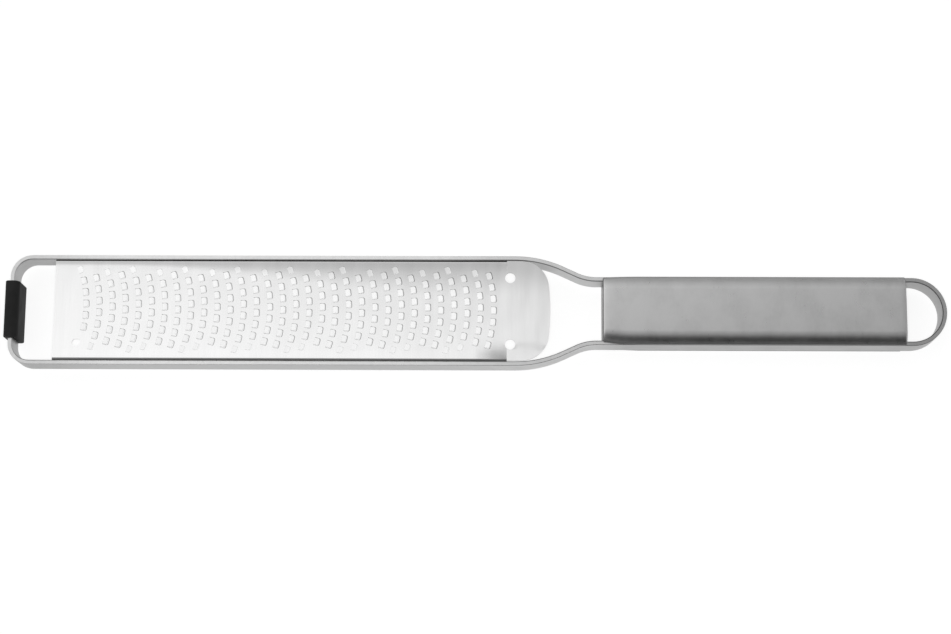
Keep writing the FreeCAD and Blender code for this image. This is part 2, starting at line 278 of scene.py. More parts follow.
def close_up():
    """Merges the seams and turns the faces outwards, and leaves edit mode."""
    bpy.ops.mesh.select_mode(type="VERT")
    pick_all()
    bpy.ops.mesh.remove_doubles(threshold=size(MERGE))
    bpy.ops.mesh.normals_make_consistent(inside=False)
    stop_shaping()


def take(piece):
    bpy.ops.object.select_all(action="DESELECT")
    piece.select_set(True)
    bpy.context.view_layer.objects.active = piece


def work(piece, kind, **settings):
    """Puts a modifier on a piece and applies it."""
    take(piece)
    modifier = piece.modifiers.new(kind.lower(), kind)
    for name, value in settings.items():
        setattr(modifier, name, value)
    bpy.ops.object.modifier_apply(modifier=modifier.name)


def thicken(piece, wall):
    """Gives a skin its wall, on the inner side."""
    work(piece, "SOLIDIFY", thickness=size(wall), offset=-1, use_even_offset=True)


def cut_or_join(piece, other, operation):
    """A Boolean with another piece, which is used up."""
    work(piece, "BOOLEAN", object=other, operation=operation, solver="MANIFOLD")
    bpy.data.objects.remove(other)


def weld(piece):
    """Merges points that the cuts left almost on top of each other, and takes out faces that folded flat."""
    take(piece)
    start_shaping()
    bpy.ops.mesh.select_mode(type="VERT")
    pick_all()
    bpy.ops.mesh.remove_doubles(threshold=size(MERGE))
    bpy.ops.mesh.dissolve_degenerate(threshold=size(MERGE))
    pick_all()
    bpy.ops.mesh.quads_convert_to_tris(quad_method="BEAUTY", ngon_method="BEAUTY")
    bpy.ops.mesh.dissolve_degenerate(threshold=size(MERGE))
    stop_shaping()


def smooth(piece, degrees):
    take(piece)
    bpy.ops.object.shade_smooth_by_angle(angle=math.radians(degrees))


def settle_normals(piece):
    """Lets the large flat faces rule the shading next to small ones."""
    work(piece, "WEIGHTED_NORMAL", keep_sharp=True)


def copy_to(pattern, place, turn):
    other = pattern.copy()
    other.data = pattern.data.copy()
    other.location = mm(*place)
    other.rotation_euler = turn
    bpy.context.collection.objects.link(other)
    return other


def joined(pieces):
    """Several pieces as one, with their places in its mesh."""
    bpy.ops.object.select_all(action="DESELECT")
    for piece in pieces:
        piece.select_set(True)
    bpy.context.view_layer.objects.active = pieces[0]
    bpy.ops.object.join()
    bpy.ops.object.transform_apply(location=True, rotation=True, scale=True)
    return bpy.context.object


# Making the strip frame

def make_frame():
    """The strip's section, its edges broken, is drawn round one half of the loop, which is then mirrored."""
    neck_bends = SHOULDER_RADIUS + WAIST_RADIUS
    neck_turn = math.atan2(neck_bends, NECK_STRAIGHT)
    neck_turn += math.asin((BAY_HALF - HANDLE_HALF - neck_bends) / math.hypot(NECK_STRAIGHT, neck_bends))
    corner_x, corner_y = BAR_X + CORNER_RADIUS, BAY_HALF - CORNER_RADIUS

    low, high = (BAR_X, 0, RAIL_BOTTOM), (BAR_X + STRIP, 0, RAIL_TOP)
    piece = start_plate("bent_strip_frame", low, high, UPRIGHT)
    pick("VERT", lambda x, y, z: x < BAR_X + STRIP / 2)
    round_corners(STRIP_OUTER_BREAK, STRIP_BREAK_SEGMENTS)
    pick("VERT", lambda x, y, z: x > BAR_X + STRIP - TOUCH)
    round_corners(STRIP_INNER_BREAK, STRIP_BREAK_SEGMENTS)
    pick_all()
    bpy.ops.mesh.delete(type="ONLY_FACE")
    pick_all()

    run(y=corner_y)
    bend(QUARTER, (corner_x, corner_y, 0), CORNER_STEPS)
    run(x=NECK_START_X - corner_x)
    bend(neck_turn, (NECK_START_X, BAY_HALF - SHOULDER_RADIUS, 0), NECK_STEPS)
    run(NECK_STRAIGHT * math.cos(neck_turn), -NECK_STRAIGHT * math.sin(neck_turn))
    bend(-neck_turn, (NECK_END_X, HANDLE_HALF + WAIST_RADIUS, 0), NECK_STEPS)
    run(x=LOOP_X - NECK_END_X)
    bend(QUARTER, (LOOP_X, 0, 0), LOOP_STEPS)
    stop_shaping()

    work(piece, "MIRROR", use_axis=(False, True, False), merge_threshold=size(TOUCH))
    start_shaping()
    close_up()
    smooth(piece, SOFT_ANGLE)
    return piece


# Making the blade

def sheet_places():
    """Where the dished middle gives way to the lifted edge, and the centres of the lift and the fold."""
    dish_half = RAIL_INNER - FOLD_RADIUS
    for _ in range(SETTLING_ROUNDS):
        dish_turn = math.asin(dish_half / DISH_RADIUS)
        lift_end = dish_turn + LIFT_TURN
        lift_span = LIFT_RADIUS * (math.sin(lift_end) - math.sin(dish_turn))
        dish_half = RAIL_INNER - FOLD_RADIUS * (1 + math.sin(lift_end)) - lift_span
    dish_z = DISH_BOTTOM + DISH_RADIUS * (1 - math.cos(dish_turn))
    lift_top = dish_z + LIFT_RADIUS * (math.cos(dish_turn) - math.cos(lift_end))
    return {
        "dish_half": dish_half, "dish_turn": dish_turn, "dish_z": dish_z,
        "lift_end": lift_end,
        "lift_y": dish_half - LIFT_RADIUS * math.sin(dish_turn),
        "lift_z": dish_z + LIFT_RADIUS * math.cos(dish_turn),
        "fold_y": RAIL_INNER - FOLD_RADIUS,
        "fold_z": lift_top - FOLD_RADIUS * math.cos(lift_end)}


def draw_channel():
    """The sheet: its section of flanges, folds, lifted edges and dished middle, drawn along the rails."""
    sheet = sheet_places()
    fold_turn = QUARTER + sheet["lift_end"]
    fold_y, fold_z, lift_y, lift_z = (sheet[name] for name in ("fold_y", "fold_z", "lift_y", "lift_z"))
    piece = start_outline("etched_blade", (BLADE_FRONT_X, -RAIL_INNER, FLANGE_BOTTOM))
    run(z=fold_z - FLANGE_BOTTOM)
    bend(fold_turn, (BLADE_FRONT_X, -fold_y, fold_z), FOLD_STEPS, ALONG)
    bend(-LIFT_TURN, (BLADE_FRONT_X, -lift_y, lift_z), LIFT_STEPS, ALONG)
    bend(-2 * sheet["dish_turn"], (BLADE_FRONT_X, 0, DISH_BOTTOM + DISH_RADIUS), DISH_STEPS, ALONG)
    bend(-LIFT_TURN, (BLADE_FRONT_X, lift_y, lift_z), LIFT_STEPS, ALONG)
    bend(fold_turn, (BLADE_FRONT_X, fold_y, fold_z), FOLD_STEPS, ALONG)
    run(z=FLANGE_BOTTOM - fold_z)
    pick_all()
    run(x=FOLD_STOP_X - BLADE_FRONT_X - sum(REAR_STRETCHES))
    for stretch in REAR_STRETCHES:
        run(x=stretch)
    return piece


def press_dip(x, y):
    """How far the sheet is pressed down at a place near its near corner, where its fold stops."""
    away_from_corner = math.hypot((FOLD_STOP_X - x) / PRESS_LENGTH, (RAIL_INNER + y) / PRESS_WIDTH)
    return PRESS_DEPTH * max(1 - away_from_corner, 0) ** 2


def press_fold_end():
    """The near corner of the sheet is pressed down, most at its free end."""
    shape = bmesh.from_edit_mesh(bpy.context.edit_object.data)
    spots = {(round(point.co.x * PER_METRE, 3), round(point.co.y * PER_METRE, 3)) for point in shape.verts}
    for spot_x, spot_y in sorted(spots):
        dip = press_dip(spot_x, spot_y)
        if dip:
            pick("VERT", lambda x, y, z: abs(x - spot_x) < TOUCH and abs(y - spot_y) < TOUCH)
            move(z=-dip)


def draw_tongue():
    """The tongue carries the dished middle on past the folds, and widens to the rails."""
    sheet = sheet_places()
    dish_half = sheet["dish_half"]
    pick("VERT", lambda x, y, z: x > FOLD_STOP_X - TOUCH and abs(y) < dish_half + TOUCH)
    run(x=FOLD_RELIEF)
    for side in (-1, 1):
        reach = TONGUE_HALF + side * TONGUE_SHIFT - dish_half
        pick("VERT", lambda x, y, z: x > FOLD_END_X - TOUCH and side * y > dish_half - TOUCH)
        run(y=side * reach, z=reach * math.tan(sheet["dish_turn"]))
    pick("VERT", lambda x, y, z: x > FOLD_END_X - TOUCH)
    last_stretch = TONGUE_END_X + TONGUE_SPARE - FOLD_END_X - sum(TONGUE_STRETCHES)
    for stretch in TONGUE_STRETCHES + [last_stretch]:
        run(x=stretch)


def tongue_trim():
    """Cutter that gives the tongue its two round corners and its gently curved end."""
    corner_y = TONGUE_HALF - TONGUE_CORNER
    end_turn = math.asin(corner_y / (TONGUE_END_RADIUS - TONGUE_CORNER))
    end_centre_x = TONGUE_END_X - TONGUE_END_RADIUS
    corner_x = end_centre_x + (TONGUE_END_RADIUS - TONGUE_CORNER) * math.cos(end_turn)
    bottom = SHEET_TOP - TRIM_BELOW
    piece = start_outline("tongue_trim", (corner_x, -TONGUE_HALF - TRIM_BEYOND, bottom))
    run(y=TRIM_BEYOND)
    bend(end_turn - QUARTER, (corner_x, -corner_y, bottom), TONGUE_CORNER_STEPS)
    bend(-2 * end_turn, (end_centre_x, 0, bottom), TONGUE_END_STEPS)
    bend(end_turn - QUARTER, (corner_x, corner_y, bottom), TONGUE_CORNER_STEPS)
    run(y=TRIM_BEYOND)
    run(x=TONGUE_END_X + TRIM_BEYOND - corner_x)
    run(y=-2 * (TONGUE_HALF + TRIM_BEYOND))
    run(x=corner_x - TONGUE_END_X - TRIM_BEYOND)
    pick_all()
    bpy.ops.mesh.remove_doubles(threshold=size(MERGE))
    pick_all()
    bpy.ops.mesh.edge_face_add()
    run(z=TRIM_DEPTH)
    pick_all()
    move(y=TONGUE_SHIFT)
    close_up()
    return piece


def tooth_places():
    """Tip of each tooth and the turn of its column there."""
    places = []
    for column in range(COLUMNS):
        share = ROW_STAGGER[column % len(ROW_STAGGER)]
        tip_x = FIRST_COLUMN_X + column * COLUMN_PITCH
        for row in range(-ROWS, ROWS):
            turn = (row + share) * ROW_PITCH / COLUMN_RADIUS
            y = COLUMN_RADIUS * math.sin(turn)
            x = tip_x - COLUMN_RADIUS * (1 - math.cos(turn)) + COLUMN_LEAN * y
            in_reach = abs(y) <= ROW_REACH
            if in_reach and math.hypot(x - FRONT_SLOT_X, y - FRONT_SLOT_Y) > FRONT_SLOT_CLEAR:
                places.append((x, y, turn))
    return places


def sheet_height(y):
    """Height of the sheet's top at a place across it, and its slope there."""
    sheet = sheet_places()
    away_from_middle = abs(y)
    if away_from_middle <= sheet["dish_half"]:
        turn = math.asin(away_from_middle / DISH_RADIUS)
        height = DISH_BOTTOM + DISH_RADIUS * (1 - math.cos(turn))
    else:
        lean = (away_from_middle - sheet["lift_y"]) / LIFT_RADIUS
        turn = math.asin(min(lean, math.sin(sheet["lift_end"])))
        height = sheet["dish_z"] + LIFT_RADIUS * (math.cos(sheet["dish_turn"]) - math.cos(turn))
    return height, math.copysign(turn, y)


def tooth_opening(share):
    """Cutter for the opening round one tooth, whose tip is at the origin; the etch widens its upper sides."""
    near, far = -TOOTH_WIDTH / 2 - NEAR_SLIT, TOOTH_WIDTH / 2 + FAR_SLIT
    low, high = (-TOOTH_LENGTH, near, -OPENING_REACH), (TIP_SLIT, far, -OPENING_REACH)
    piece = start_plate("tooth_opening", low, high)
    pick("VERT", lambda x, y, z: x > 0)
    round_corners(TOOTH_CORNER, TOOTH_CORNER_SEGMENTS)
    pick_all()
    run(z=OPENING_REACH - SHEET)
    run(z=SHEET)
    longer = 1 + share * TIP_ETCH / (TOOTH_LENGTH + TIP_SLIT)
    wider = 1 + share * (NEAR_ETCH + FAR_ETCH) / (far - near)
    still_y = near + (far - near) * NEAR_ETCH / (NEAR_ETCH + FAR_ETCH)
    bpy.ops.transform.resize(value=(longer, wider, 1), center_override=mm(-TOOTH_LENGTH, still_y, 0))
    run(z=OPENING_REACH)
    close_up()
    return piece


def tooth_tab():
    """One raised tab with a rounded tip, thinned to its cutting edge; its root is sunk into the sheet."""
    half = TOOTH_WIDTH / 2
    piece = start_plate("tooth_tab", (-TOOTH_LENGTH - TAB_ROOT, -half, 0), (0, half, 0))
    pick("VERT", lambda x, y, z: x > -TOUCH)
    round_corners(TOOTH_CORNER, TOOTH_CORNER_SEGMENTS)
    for share in TAB_CUTS:
        pick_all()
        bpy.ops.mesh.bisect(plane_co=mm(-TOOTH_LENGTH * share, 0, 0), plane_no=ALONG)
    pick_all()
    thickness = SHEET - TAB_THINNING
    run(z=-thickness)
    shape = bmesh.from_edit_mesh(piece.data)
    stations = sorted({round(point.co.x * PER_METRE, 3) for point in shape.verts})
    for station in stations:
        share = max(station / TOOTH_LENGTH + 1, 0)
        rise = TOOTH_RISE * ((1 + TAB_CURL) * share - TAB_CURL * math.sin(math.pi * share / 2))
        pick("VERT", lambda x, y, z: abs(x - station) < TOUCH and z > -thickness / 2)
        move(z=rise - TAB_SINK)
        pick("VERT", lambda x, y, z: abs(x - station) < TOUCH and z < -thickness + TOUCH)
        move(z=rise + TIP_THINNING * share - TAB_SINK)
    close_up()
    return piece


def round_hole(y):
    bpy.ops.object.select_all(action="DESELECT")
    bpy.ops.mesh.primitive_cylinder_add(
        vertices=TOOL_HOLE_SIDES, radius=size(TOOL_HOLE_RADIUS), depth=size(TOOL_HOLE_DEPTH),
        location=mm(TOOL_HOLE_X, y, SHEET_TOP))
    return bpy.context.object


def long_hole():
    half_length, half_width = FRONT_SLOT_LENGTH / 2, FRONT_SLOT_WIDTH / 2
    bottom = SHEET_TOP - FRONT_SLOT_REACH
    low = (FRONT_SLOT_X - half_length, FRONT_SLOT_Y - half_width, bottom)
    high = (FRONT_SLOT_X + half_length, FRONT_SLOT_Y + half_width, bottom)
    piece = start_plate("long_hole", low, high)
    pick_all()
    round_corners(half_width - TOUCH, FRONT_SLOT_SEGMENTS)
    pick_all()
    run(z=2 * FRONT_SLOT_REACH)
    close_up()
    return piece


def make_blade():
    """The folded sheet with its tongue, holes and openings cut and its tabs welded in."""
    piece = draw_channel()
    press_fold_end()
    draw_tongue()
    close_up()
    thicken(piece, SHEET)
    opening, outer_opening, tab = tooth_opening(1), tooth_opening(OUTER_ETCH_SHARE), tooth_tab()
    openings, tabs = [], []
    for x, y, turn in tooth_places():
        height, slope = sheet_height(y)
        height -= press_dip(x - TOOTH_LENGTH, y)
        pattern = outer_opening if abs(y) > OUTER_ROW_Y else opening
        openings.append(copy_to(pattern, (x, y, height), (0, 0, turn)))
        tabs.append(copy_to(tab, (x, y, height), (slope, 0, turn)))
    for pattern in (opening, outer_opening, tab):
        bpy.data.objects.remove(pattern)
    holes = [round_hole(-TOOL_HOLE_Y), round_hole(TOOL_HOLE_Y), long_hole(), tongue_trim()]
    cut_or_join(piece, joined(holes + openings), "DIFFERENCE")
    cut_or_join(piece, joined(tabs), "UNION")
    weld(piece)
    smooth(piece, BLADE_SOFT_ANGLE)
    settle_normals(piece)
    return piece


# Making the handle shells

def draw_pressed_skin(name):
    """The upper shell's outer skin: a section drawn along the rails, its front pulled in, its ends closed."""
    shoulder_y = SHELL_HALF - SHELL_SHOULDER * math.sin(SHELL_SHOULDER_END)
    crown_turn = math.asin(shoulder_y / (SHELL_CROWN - SHELL_SHOULDER))
    shoulder_z = SHELL_TOP - SHELL_CROWN + (SHELL_CROWN - SHELL_SHOULDER) * math.cos(crown_turn)
    land = shoulder_z + SHELL_SHOULDER * math.cos(SHELL_SHOULDER_END) - RAIL_TOP
    shoulder_turn = SHELL_SHOULDER_END - crown_turn
    piece = start_outline(name, (SHELL_FRONT_X, -SHELL_HALF, RAIL_TOP))
    run(z=land)
    bend(shoulder_turn, (SHELL_FRONT_X, -shoulder_y, shoulder_z), SHELL_SHOULDER_STEPS, ALONG)
    bend(2 * crown_turn, (SHELL_FRONT_X, 0, SHELL_TOP - SHELL_CROWN), SHELL_CROWN_STEPS, ALONG)
    bend(shoulder_turn, (SHELL_FRONT_X, shoulder_y, shoulder_z), SHELL_SHOULDER_STEPS, ALONG)
    run(z=-land)
    pick_all()
    length = SHELL_REAR_X - SHELL_FRONT_X
    stations = SHELL_FRONT_STATIONS + tuple(length - station for station in SHELL_REAR_STATIONS)
    for before, after in zip(stations, stations[1:]):
        run(x=after - before)
    for station in stations:
        narrowing = SHELL_NARROWING * max(1 - station / SHELL_TAPER, 0) ** 2
        to_end = min(station, length - station)
        sink = SHELL_END_SINK * max(1 - to_end / SHELL_SINK_LENGTH, 0) ** 2
        pick("VERT", lambda x, y, z: abs(x - SHELL_FRONT_X - station) < TOUCH)
        bpy.ops.transform.resize(
            value=(1, 1 - narrowing / SHELL_HALF, 1 - sink / (SHELL_TOP - RAIL_TOP)),
            center_override=mm(SHELL_FRONT_X, SHELL_PULL_Y, RAIL_TOP))
    for end_x in (SHELL_FRONT_X, SHELL_REAR_X):
        pick("VERT", lambda x, y, z: abs(x - end_x) < TOUCH)
        bpy.ops.mesh.edge_face_add()
    return piece


def round_shell_ends():
    """Rounds the outer rim of both ends, but not where a shell meets the rails."""
    for end_x in (SHELL_FRONT_X, SHELL_REAR_X):
        pick("EDGE", lambda x, y, z: abs(x - end_x) < TOUCH, lambda x, y, z: z < RAIL_TOP + TOUCH)
        round_edges(SHELL_END_ROUND, SHELL_END_SEGMENTS)


def end_wall(x):
    """The part of an end that reaches down between the rails to meet the other shell."""
    bpy.ops.object.select_all(action="DESELECT")
    height = RAIL_TOP + SHELL_WALL - RAIL_MIDDLE
    bpy.ops.mesh.primitive_cube_add(size=1, location=mm(x, 0, RAIL_MIDDLE + height / 2))
    piece = bpy.context.object
    piece.scale = mm(END_WALL, 2 * END_WALL_HALF, height)
    bpy.ops.object.transform_apply(location=True, rotation=True, scale=True)
    start_shaping()
    pick("EDGE", lambda x, y, z: abs(y) > END_WALL_HALF - TOUCH)
    round_edges(END_WALL_ROUND, END_WALL_SEGMENTS)
    close_up()
    return piece


def make_upper_shell():
    piece = draw_pressed_skin("upper_handle_shell")
    close_up()
    thicken(piece, SHELL_WALL)
    start_shaping()
    round_shell_ends()
    close_up()
    for wall_x in (SHELL_FRONT_X + SHELL_WALL / 2, SHELL_REAR_X - SHELL_WALL / 2):
        cut_or_join(piece, end_wall(wall_x), "UNION")
    smooth(piece, SOFT_ANGLE)
    settle_normals(piece)
    return piece


def make_lower_shell(upper):
    """The same pressing, turned over under the rails."""
    piece = copy_to(upper, (0, 0, 0), (0, 0, 0))
    piece.name = piece.data.name = "lower_handle_shell"
    take(piece)
    start_shaping()
    pick_all()
    bpy.ops.transform.resize(value=(1, 1, -1), center_override=mm(0, 0, RAIL_MIDDLE))
    bpy.ops.mesh.flip_normals()
    stop_shaping()
    return piece


# Making the rubber foot

def make_foot():
    """A moulded sleeve: a rounded section drawn along the front bar, with broken rims and the bar's bore."""
    low, high = (FOOT_FRONT_X, -FOOT_HALF, FOOT_BOTTOM), (FOOT_REAR_X, -FOOT_HALF, FOOT_TOP)
    piece = start_plate("rubber_front_foot", low, high, UPRIGHT)
    pick("VERT", lambda x, y, z: x > FOOT_REAR_X - TOUCH and z > FOOT_TOP - TOUCH)
    round_corners(FOOT_REAR_ROUND, FOOT_REAR_SEGMENTS)
    pick("VERT", lambda x, y, z: x < FOOT_FRONT_X + TOUCH or z < FOOT_BOTTOM + TOUCH)
    round_corners(FOOT_ROUND, FOOT_SEGMENTS)
    pick_all()
    run(y=2 * FOOT_HALF)
    close_up()
    start_shaping()
    for side in (-1, 1):
        pick("EDGE", lambda x, y, z: side * y > FOOT_HALF - TOUCH)
        round_edges(FOOT_END_BREAK, FOOT_END_SEGMENTS)
    close_up()
    bore_y = -FOOT_HALF - BORE_BEYOND
    bore = start_plate("bore", (BAR_X, bore_y, RAIL_BOTTOM), (BAR_X + STRIP, bore_y, RAIL_TOP), UPRIGHT)
    pick_all()
    run(y=-2 * bore_y)
    close_up()
    cut_or_join(piece, bore, "DIFFERENCE")
    smooth(piece, SOFT_ANGLE)
    settle_normals(piece)
    return piece


# Nodes

def add(tree, kind, **values):
    """A node with its inputs set by name and its own settings by attribute."""
    node = tree.nodes.new("ShaderNode" + kind)
    for name, value in values.items():
        if hasattr(node, name):
            setattr(node, name, value)
        else:
            node.inputs[name.replace("_", " ")].default_value = value
    return node


def feed(tree, socket, value):
    """Links an output to an input, or sets the input to a number, which is a grey for a colour."""
    if not isinstance(value, (int, float)):
        tree.links.new(value, socket)
    elif socket.type == "RGBA":
        socket.default_value = (value, value, value, 1)
    else:
        socket.default_value = value


def sum_up(tree, operation, first, second):
    """A Math node on two outputs or plain numbers."""
    node = add(tree, "Math", operation=operation)
    for socket, value in zip(node.inputs, (first, second)):
        feed(tree, socket, value)
    return node.outputs["Value"]


def times(tree, first, second):
    return sum_up(tree, "MULTIPLY", first, second)


def spread(tree, value, low, high, start=0.0, end=1.0, way="LINEAR"):
    """A value taken straight from low to high while it goes from start to end."""
    node = add(
        tree, "MapRange", interpolation_type=way, From_Min=start, From_Max=end, To_Min=low, To_Max=high)
    tree.links.new(value, node.inputs["Value"])
    return node.outputs["Result"]


def ease(tree, value, start, end, low=0.0, high=1.0):
    """A value eased from low to high while it goes from start to end."""
    return spread(tree, value, low, high, start, end, "SMOOTHSTEP")


def zone(tree, value, limits, low=0.0, high=1.0):
    """A value eased from low to high between two places, in millimetres."""
    return ease(tree, value, *mm(*limits), low, high)


def blend(tree, share, first, second, way="MIX"):
    """Two colours mixed by a share; a colour is an output or a grey level."""
    node = add(tree, "Mix", data_type="RGBA", blend_type=way)
    colour_inputs = [socket for socket in node.inputs if socket.type == "RGBA"]
    feed(tree, node.inputs[0], share)
    for socket, value in zip(colour_inputs, (first, second)):
        feed(tree, socket, value)
    return [socket for socket in node.outputs if socket.type == "RGBA"][0]


def blend_along(tree, mask, tones, changes):
    """A pair of tones mixed by a mask, which gives way to other pairs along the tool."""
    tone = blend(tree, mask, *tones)
    for share, later_tones in changes:
        tone = blend(tree, share, tone, blend(tree, mask, *later_tones))
    return tone


def noise(tree, place, scale, detail, roughness):
    node = add(tree, "TexNoise", Detail=detail, Roughness=roughness)
    tree.links.new(place, node.inputs["Vector"])
    feed(tree, node.inputs["Scale"], scale)
    return node.outputs["Fac"]


def stretched(tree, place, scale):
    """Object coordinates scaled apart along the three axes, for a pattern that runs one way."""
    node = add(tree, "Mapping", Scale=scale)
    tree.links.new(place, node.inputs["Vector"])
    return node.outputs["Vector"]


def along_axis(tree, vector, axis):
    node = add(tree, "SeparateXYZ")
    tree.links.new(vector, node.inputs["Vector"])
    return node.outputs[axis]


def away(tree, value):
    return sum_up(tree, "ABSOLUTE", value, 0.0)


# Effects that the finishes share

def new_group(name, inputs, outputs):
    """A node group with named inputs, each with its kind, and outputs, which are all values."""
    group = bpy.data.node_groups.new(name, "ShaderNodeTree")
    for socket, kind in inputs:
        group.interface.new_socket(socket, in_out="INPUT", socket_type="NodeSocket" + kind)
    for socket in outputs:
        group.interface.new_socket(socket, in_out="OUTPUT", socket_type="NodeSocketFloat")
    return group, group.nodes.new("NodeGroupInput"), group.nodes.new("NodeGroupOutput")


def make_drawn_lines():
    """Fine lines left by drawing or brushing, with broader bands, on coordinates stretched along them."""
    group, start, end = new_group("drawn_lines", [("Place", "Vector")], ["Tone", "Height"])
    fine = noise(group, start.outputs["Place"], scale=1.0, detail=4.0, roughness=0.65)
    broad = noise(group, start.outputs["Place"], scale=0.21, detail=2.0, roughness=0.5)
    both = sum_up(group, "ADD", times(group, fine, 0.6), times(group, broad, 0.4))
    group.links.new(ease(group, both, start=0.3, end=0.7), end.inputs["Tone"])
    group.links.new(fine, end.inputs["Height"])
    return group


def make_handling_marks():
    """Soft cloudy patches from wiping and handling."""
    group, start, end = new_group("handling_marks", [("Place", "Vector"), ("Scale", "Float")], ["Mask"])
    cloud = noise(group, start.outputs["Place"], start.outputs["Scale"], detail=3.0, roughness=0.5)
    group.links.new(ease(group, cloud, start=0.35, end=0.65), end.inputs["Mask"])
    return group


def make_rim_wear_and_shading():
    """A rim's mask, broken up in places: wear on the foot's rims and the teeth's tips, painted light on the
    strip's edges and the tips, and painted shade on the shells' sides.
    """
    group, start, end = new_group("rim_wear_and_shading", [("Rim", "Float"), ("Place", "Vector")], ["Mask"])
    breaks = noise(group, start.outputs["Place"], scale=700.0, detail=3.0, roughness=0.6)
    kept = ease(group, breaks, start=0.3, end=0.6, low=0.35, high=1.0)
    group.links.new(times(group, start.outputs["Rim"], kept), end.inputs["Mask"])
    return group


drawn_lines = make_drawn_lines()
handling_marks = make_handling_marks()
rim_wear_and_shading = make_rim_wear_and_shading()


def use(tree, group, **inputs):
    """A shared effect placed in a material; an input is an output to link or a plain number."""
    node = add(tree, "Group", node_tree=group)
    for name, value in inputs.items():
        feed(tree, node.inputs[name], value)
    return node.outputs


# Finishes

def new_material(name):
    """A material with its nodes, its shader and the coordinates that its patterns lie on."""
    material = bpy.data.materials.new(name)
    material.use_nodes = True
    tree = material.node_tree
    return material, tree, tree.nodes["Principled BSDF"], add(tree, "TexCoord").outputs


def levelness(tree, normal):
    """1 where a surface is level, above or below, and 0 where it stands upright."""
    return away(tree, along_axis(tree, normal, "Z"))


def paint(tree, shader, tone, rough):
    tree.links.new(tone, shader.inputs["Base Color"])
    tree.links.new(rough, shader.inputs["Roughness"])


def bump(tree, shader, height, strength, depth):
    """Relief on a shader, on top of any relief that it already has; its depth is in millimetres."""
    node = add(tree, "Bump", Strength=strength, Distance=size(depth))
    tree.links.new(height, node.inputs["Height"])
    for link in shader.inputs["Normal"].links:
        tree.links.new(link.from_socket, node.inputs["Normal"])
    tree.links.new(node.outputs["Normal"], shader.inputs["Normal"])


def set_metal(shader, grazing):
    """Makes a shader metal, with the grey that it has where it is seen along its surface."""
    shader.inputs["Metallic"].default_value = 1.0
    shader.inputs["Specular Tint"].default_value = (grazing, grazing, grazing, 1)


def make_frame_steel():
    """Satin strip: lines along its faces; painted light and shade step its tone along the tool and paint the
    level edges lighter than the upright faces; the edges are rubbed smoother, with painted shade on their
    broken corners.
    """
    material, tree, shader, coordinates = new_material("satin_strip")
    set_metal(shader, grazing=0.75)
    place, level = coordinates["Object"], levelness(tree, coordinates["Normal"])
    lines = use(tree, drawn_lines, Place=stretched(tree, place, STRIP_LINES))
    marks = use(tree, handling_marks, Place=place, Scale=STRIP_MARKS)
    on_edge = ease(tree, level, start=0.5, end=0.85)
    edge = use(tree, rim_wear_and_shading, Rim=on_edge, Place=place)
    along = along_axis(tree, place, "X")
    behind_bar, on_neck = zone(tree, along, BEHIND_BAR), zone(tree, along, ON_NECK)
    on_handle, on_loop = zone(tree, along, ON_HANDLE), zone(tree, along, ON_LOOP)
    # Painted light and shade: the upright faces' tone steps along the tool
    face_tone = blend_along(tree, lines["Tone"], STRIP_FRONT_TONES, [
        (behind_bar, STRIP_BAY_TONES), (on_neck, STRIP_NECK_TONES), (on_handle, STRIP_HANDLE_TONES)])
    face_tone = blend(tree, times(tree, marks["Mask"], STRIP_MARK_SHARE), face_tone, STRIP_MARK_TONE)
    # Painted light and shade: the level edges are painted lighter than the faces, and step along the tool too
    edge_tone = blend_along(tree, edge["Mask"], EDGE_FRONT_TONES, [
        (behind_bar, EDGE_BAY_TONES), (on_neck, EDGE_NECK_TONES), (on_loop, EDGE_LOOP_TONES)])
    # Painted shade on the broken corners, from the neck on
    on_break = times(tree, ease(tree, level, start=0.5, end=0.65), ease(tree, level, start=0.92, end=0.78))
    break_shade_tone = blend(tree, on_loop, BREAK_NECK_SHADE_TONE, BREAK_LOOP_SHADE_TONE)
    edge_tone = blend(tree, times(tree, on_break, on_neck), edge_tone, break_shade_tone)
    face_rough = spread(tree, lines["Tone"], low=0.36, high=0.44)
    rough = sum_up(tree, "SUBTRACT", face_rough, times(tree, on_edge, EDGE_SMOOTHER))
    paint(tree, shader, blend(tree, on_edge, face_tone, edge_tone), rough)
    bump(tree, shader, lines["Height"], strength=0.12, depth=0.02)
    return material


